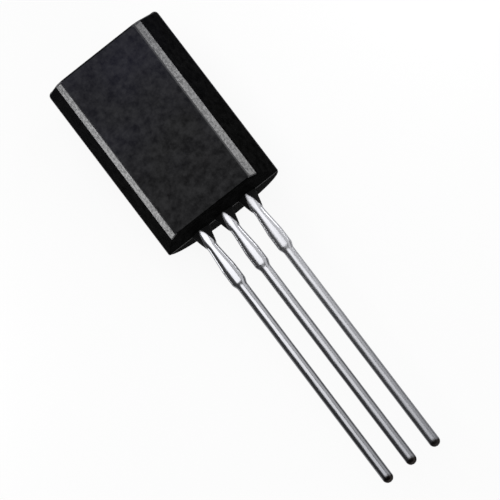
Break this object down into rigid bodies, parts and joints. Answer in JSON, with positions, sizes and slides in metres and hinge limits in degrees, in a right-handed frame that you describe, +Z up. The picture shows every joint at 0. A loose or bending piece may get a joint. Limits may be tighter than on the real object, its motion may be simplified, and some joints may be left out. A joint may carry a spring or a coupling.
{
  "type": "to-92 transistor",
  "caption": "Leaded transistor: long D-shaped black moulded body with a bevelled flat face and a round back, and straight tinned leads that carry sheared tie-bar stubs.",
  "frame": {"origin": "centre of the whole part's box, at the surface that the round back lies on", "axes": "+Z up, along the flat face's outward normal; +Y from the leads to the body, along its length; +X across the leads, from the emitter to the base"},
  "size_m": [0.006, 0.0226, 0.0049],
  "materials": {
    "moulding_compound": "black silica-filled epoxy, transfer moulded, with a fine spark-eroded texture",
    "tinned_copper": "stamped copper-alloy strip, dipped in tin",
    "silicon": "sawn silicon with a polished face",
    "solder": "flowed high-lead solder",
    "gold_wire": "drawn gold wire"
  },
  "bodies": {
    "root": {"body": "moulding_compound", "collector_lead": "tinned_copper", "emitter_lead": "tinned_copper", "base_lead": "tinned_copper", "chip": "silicon", "chip_solder": "solder", "emitter_wire": "gold_wire", "base_wire": "gold_wire"}
  },
  "joints": []
}
